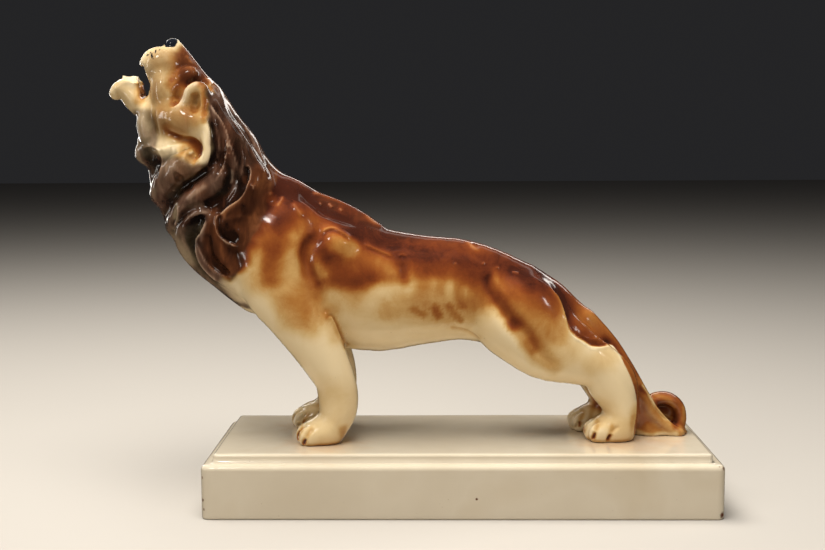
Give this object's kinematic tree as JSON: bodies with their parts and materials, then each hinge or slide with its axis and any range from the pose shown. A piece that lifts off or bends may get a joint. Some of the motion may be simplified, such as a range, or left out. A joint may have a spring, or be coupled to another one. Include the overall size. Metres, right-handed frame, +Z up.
{
  "type": "lion figurine",
  "caption": "Glazed porcelain lion stretching forward with its head thrown back in a roar, on a stepped rectangular plinth.",
  "frame": {"origin": "centre of the plinth's underside, where the figurine rests", "axes": "+X along the plinth towards the lion's tail (the lion faces -X), +Y away from the display side, +Z up"},
  "size_m": [0.3954, 0.125, 0.3051],
  "materials": {
    "plinth_glaze": "clear glaze over cream body, small brown wear at the corners",
    "lion_glaze": "clear glaze over cream body, sprayed ochre and red-brown back, purple-brown mane"
  },
  "bodies": {
    "root": {"plinth": "plinth_glaze", "lion": "lion_glaze"}
  },
  "joints": []
}
